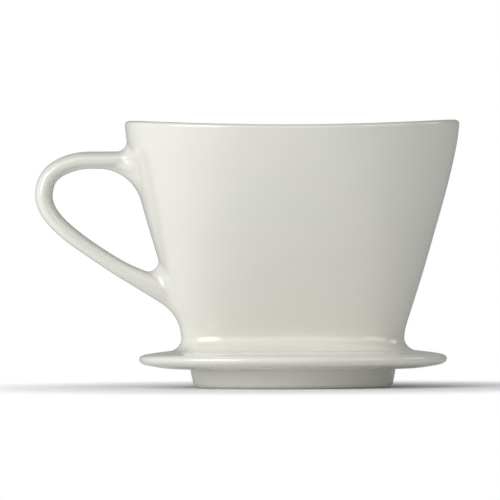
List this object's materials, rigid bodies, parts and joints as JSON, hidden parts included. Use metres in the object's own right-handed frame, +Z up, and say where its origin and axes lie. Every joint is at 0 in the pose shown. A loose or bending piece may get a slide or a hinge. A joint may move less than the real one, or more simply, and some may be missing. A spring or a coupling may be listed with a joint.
{
  "type": "pour over dripper",
  "caption": "Wedge-shaped porcelain coffee filter cone with a saddle rim, loop handle, oval saucer, foot ring and a pierced drip floor.",
  "frame": {"origin": "centre of the foot ring's flat underside, on the surface that the dripper stands on", "axes": "+Z up, along the cone; X along the oval's long axis, with the handle at -X; Y across the broad sides"},
  "size_m": [0.1654, 0.1, 0.104],
  "materials": {
    "glazed_wall": "clear glossy glaze over off-white porcelain",
    "rib_glaze": "clear glossy glaze over off-white porcelain, thin on the ridges",
    "saucer_glaze": "clear glossy glaze over off-white porcelain, pooled in the fillet",
    "floor_glaze": "clear glossy glaze over off-white porcelain",
    "foot_glaze": "glossy glaze with a dry unglazed rim where it stood in the kiln",
    "handle_glaze": "clear glossy glaze over off-white porcelain"
  },
  "bodies": {
    "root": {"cone_body": "glazed_wall", "filter_ribs": "rib_glaze", "base_saucer": "saucer_glaze", "drip_floor": "floor_glaze", "foot_ring": "foot_glaze", "handle": "handle_glaze"}
  },
  "joints": []
}
